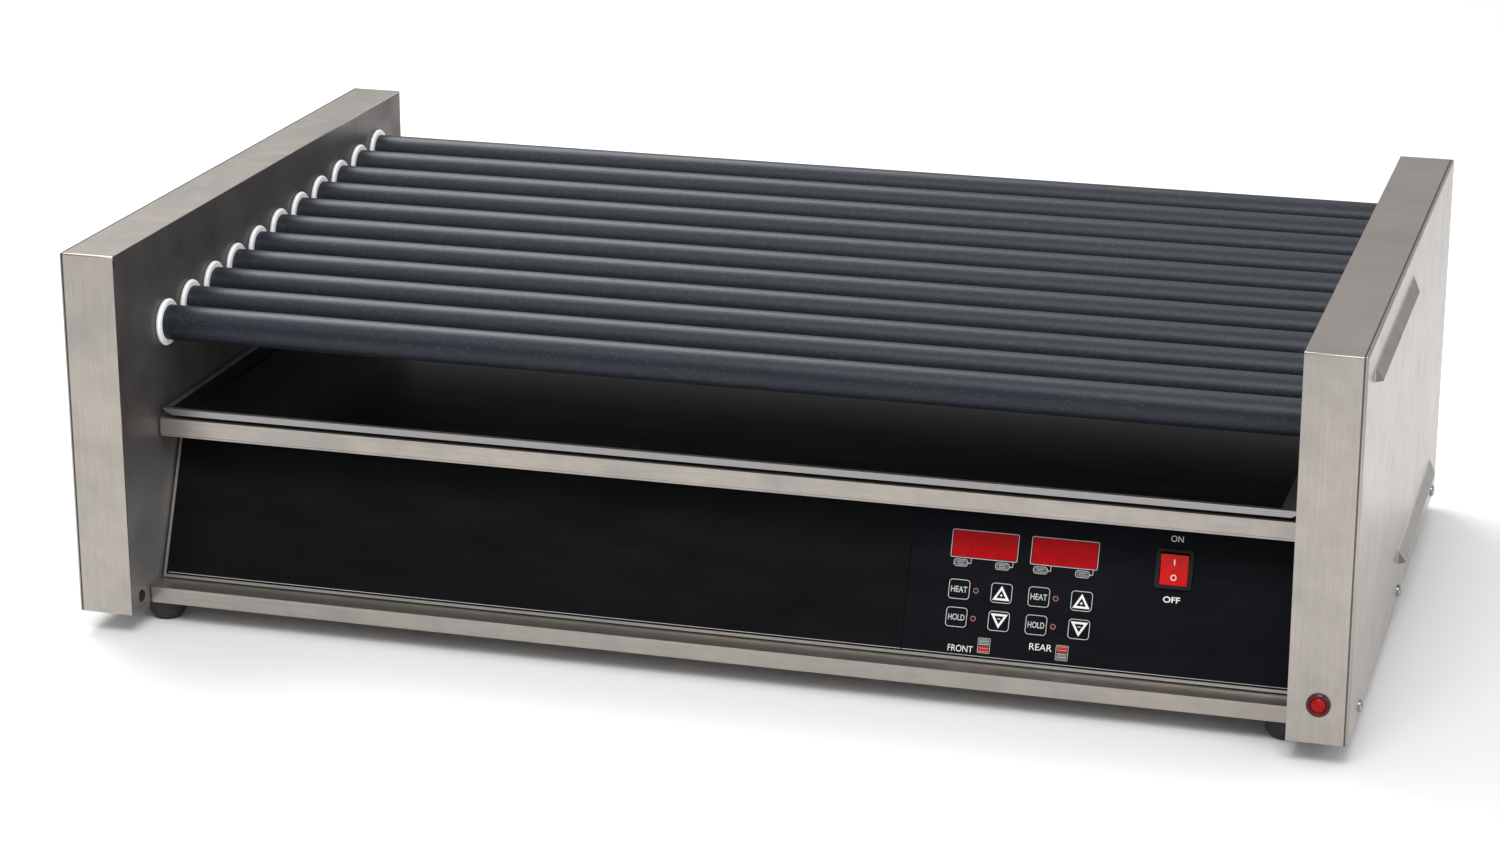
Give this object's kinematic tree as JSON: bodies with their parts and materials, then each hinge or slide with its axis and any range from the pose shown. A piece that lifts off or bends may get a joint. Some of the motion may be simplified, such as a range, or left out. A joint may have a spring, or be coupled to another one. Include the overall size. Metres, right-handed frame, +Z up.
{
  "type": "hot dog roller grill",
  "caption": "Countertop roller grill: chain-driven heated rollers tilt up to the back between stainless end housings, over a sliding drip tray and a sloping control panel.",
  "frame": {"origin": "on the surface it stands on, under the middle of its width and depth", "axes": "+X to the right of someone facing the controls, -Y out of the front, +Z up"},
  "size_m": [0.919, 0.554, 0.282],
  "materials": {
    "stainless": "brushed",
    "wall_steel": "satin",
    "tray_steel": "glossy",
    "roller_coating": "fine textured non-stick",
    "white_seal": "satin",
    "black_panel": "gloss",
    "black_steel": "satin",
    "bright_trim": "satin",
    "red_window": "gloss",
    "red_plastic": "gloss",
    "dark_red_plastic": "satin",
    "black_plastic": "satin",
    "rubber": "matte",
    "screw_steel": "bright",
    "rod_steel": "heat-tinted",
    "zinc_steel": "zinc plated",
    "drive_steel": "machined",
    "chain_steel": "oiled",
    "motor_paint": "satin",
    "circuit_board": "satin"
  },
  "bodies": {
    "cabinet": {"left_side_cover": "stainless", "right_side_cover": "stainless", "left_inner_wall": "wall_steel", "right_inner_wall": "wall_steel", "base_pan": "stainless", "top_deck": "stainless", "back_panel": "wall_steel", "feet": "rubber", "screws": "screw_steel", "hole_plugs": "black_plastic", "cord_inlet": "black_plastic", "panel_backing": "black_steel", "panel_trim": "bright_trim", "blank_panel": "black_panel", "control_overlay": "black_panel", "display_windows": "red_window", "indicator_leds": "red_plastic", "control_board": "circuit_board", "rocker_bezel": "black_plastic", "pilot_lamp_bezel": "dark_red_plastic", "pilot_lamp_lens": "red_window", "left_roller_seals": "white_seal", "right_roller_seals": "white_seal", "heating_rods": "rod_steel", "heater_brackets": "zinc_steel", "gearmotor": "motor_paint", "drive_chain": "chain_steel"},
    "roller_01": {"roller_01": "roller_coating", "roller_sprocket_01": "drive_steel"},
    "roller_02": {"roller_02": "roller_coating", "roller_sprocket_02": "drive_steel"},
    "roller_03": {"roller_03": "roller_coating", "roller_sprocket_03": "drive_steel"},
    "roller_04": {"roller_04": "roller_coating", "roller_sprocket_04": "drive_steel"},
    "roller_05": {"roller_05": "roller_coating", "roller_sprocket_05": "drive_steel"},
    "roller_06": {"roller_06": "roller_coating", "roller_sprocket_06": "drive_steel"},
    "roller_07": {"roller_07": "roller_coating", "roller_sprocket_07": "drive_steel"},
    "roller_08": {"roller_08": "roller_coating", "roller_sprocket_08": "drive_steel"},
    "roller_09": {"roller_09": "roller_coating", "roller_sprocket_09": "drive_steel"},
    "roller_10": {"roller_10": "roller_coating", "roller_sprocket_10": "drive_steel"},
    "roller_11": {"roller_11": "roller_coating", "roller_sprocket_11": "drive_steel"},
    "drive_sprocket": {"drive_sprocket": "drive_steel"},
    "drip_tray": {"drip_tray": "tray_steel"},
    "rocker": {"rocker": "red_plastic"},
    "front_heat_key": {"front_heat_key": "black_panel"},
    "front_up_key": {"front_up_key": "black_panel"},
    "front_hold_key": {"front_hold_key": "black_panel"},
    "front_down_key": {"front_down_key": "black_panel"},
    "rear_heat_key": {"rear_heat_key": "black_panel"},
    "rear_up_key": {"rear_up_key": "black_panel"},
    "rear_hold_key": {"rear_hold_key": "black_panel"},
    "rear_down_key": {"rear_down_key": "black_panel"}
  },
  "joints": [
    {"name": "roller_01_spin", "type": "hinge", "parent": "cabinet", "child": "roller_01", "pos_m": [0, -0.19379, 0.21313], "axis": [1, 0, 0], "continuous": true, "deforming": ["drive_chain"]},
    {"name": "roller_02_spin", "type": "hinge", "parent": "cabinet", "child": "roller_02", "pos_m": [0, -0.15263, 0.21622], "axis": [1, 0, 0], "continuous": true},
    {"name": "roller_03_spin", "type": "hinge", "parent": "cabinet", "child": "roller_03", "pos_m": [0, -0.11148, 0.21932], "axis": [1, 0, 0], "continuous": true},
    {"name": "roller_04_spin", "type": "hinge", "parent": "cabinet", "child": "roller_04", "pos_m": [0, -0.07032, 0.22241], "axis": [1, 0, 0], "continuous": true},
    {"name": "roller_05_spin", "type": "hinge", "parent": "cabinet", "child": "roller_05", "pos_m": [0, -0.02916, 0.22551], "axis": [1, 0, 0], "continuous": true},
    {"name": "roller_06_spin", "type": "hinge", "parent": "cabinet", "child": "roller_06", "pos_m": [0, 0.012, 0.2286], "axis": [1, 0, 0], "continuous": true},
    {"name": "roller_07_spin", "type": "hinge", "parent": "cabinet", "child": "roller_07", "pos_m": [0, 0.05316, 0.2317], "axis": [1, 0, 0], "continuous": true},
    {"name": "roller_08_spin", "type": "hinge", "parent": "cabinet", "child": "roller_08", "pos_m": [0, 0.09432, 0.23479], "axis": [1, 0, 0], "continuous": true},
    {"name": "roller_09_spin", "type": "hinge", "parent": "cabinet", "child": "roller_09", "pos_m": [0, 0.13548, 0.23788], "axis": [1, 0, 0], "continuous": true},
    {"name": "roller_10_spin", "type": "hinge", "parent": "cabinet", "child": "roller_10", "pos_m": [0, 0.17663, 0.24098], "axis": [1, 0, 0], "continuous": true},
    {"name": "roller_11_spin", "type": "hinge", "parent": "cabinet", "child": "roller_11", "pos_m": [0, 0.21779, 0.24407], "axis": [1, 0, 0], "continuous": true},
    {"name": "drive_sprocket_spin", "type": "hinge", "parent": "cabinet", "child": "drive_sprocket", "pos_m": [-0.427, 0.02351, 0.07558], "axis": [1, 0, 0], "continuous": true},
    {"name": "drip_tray_slide", "type": "slide", "parent": "cabinet", "child": "drip_tray", "axis": [0, -1, 0], "range_m": [0, 0.44]},
    {"name": "rocker_tilt", "type": "hinge", "parent": "cabinet", "child": "rocker", "pos_m": [0.3234, -0.19191, 0.09738], "axis": [-1, 0, 0], "range_deg": [0, 16]},
    {"name": "front_heat_key_press", "type": "slide", "parent": "cabinet", "child": "front_heat_key", "axis": [0, 0.9219, -0.3875], "range_m": [0, 0.0004], "stiffness_N_per_m": 3000},
    {"name": "front_up_key_press", "type": "slide", "parent": "cabinet", "child": "front_up_key", "axis": [0, 0.9219, -0.3875], "range_m": [0, 0.0004], "stiffness_N_per_m": 3000},
    {"name": "front_hold_key_press", "type": "slide", "parent": "cabinet", "child": "front_hold_key", "axis": [0, 0.9219, -0.3875], "range_m": [0, 0.0004], "stiffness_N_per_m": 3000},
    {"name": "front_down_key_press", "type": "slide", "parent": "cabinet", "child": "front_down_key", "axis": [0, 0.9219, -0.3875], "range_m": [0, 0.0004], "stiffness_N_per_m": 3000},
    {"name": "rear_heat_key_press", "type": "slide", "parent": "cabinet", "child": "rear_heat_key", "axis": [0, 0.9219, -0.3875], "range_m": [0, 0.0004], "stiffness_N_per_m": 3000},
    {"name": "rear_up_key_press", "type": "slide", "parent": "cabinet", "child": "rear_up_key", "axis": [0, 0.9219, -0.3875], "range_m": [0, 0.0004], "stiffness_N_per_m": 3000},
    {"name": "rear_hold_key_press", "type": "slide", "parent": "cabinet", "child": "rear_hold_key", "axis": [0, 0.9219, -0.3875], "range_m": [0, 0.0004], "stiffness_N_per_m": 3000},
    {"name": "rear_down_key_press", "type": "slide", "parent": "cabinet", "child": "rear_down_key", "axis": [0, 0.9219, -0.3875], "range_m": [0, 0.0004], "stiffness_N_per_m": 3000}
  ],
  "couplings": [
    {"joint": "roller_02_spin", "follows": "roller_01_spin", "ratio": 1},
    {"joint": "roller_03_spin", "follows": "roller_01_spin", "ratio": 1},
    {"joint": "roller_04_spin", "follows": "roller_01_spin", "ratio": 1},
    {"joint": "roller_05_spin", "follows": "roller_01_spin", "ratio": 1},
    {"joint": "roller_06_spin", "follows": "roller_01_spin", "ratio": 1},
    {"joint": "roller_07_spin", "follows": "roller_01_spin", "ratio": 1},
    {"joint": "roller_08_spin", "follows": "roller_01_spin", "ratio": 1},
    {"joint": "roller_09_spin", "follows": "roller_01_spin", "ratio": 1},
    {"joint": "roller_10_spin", "follows": "roller_01_spin", "ratio": 1},
    {"joint": "roller_11_spin", "follows": "roller_01_spin", "ratio": 1},
    {"joint": "drive_sprocket_spin", "follows": "roller_01_spin", "ratio": 1}
  ]
}
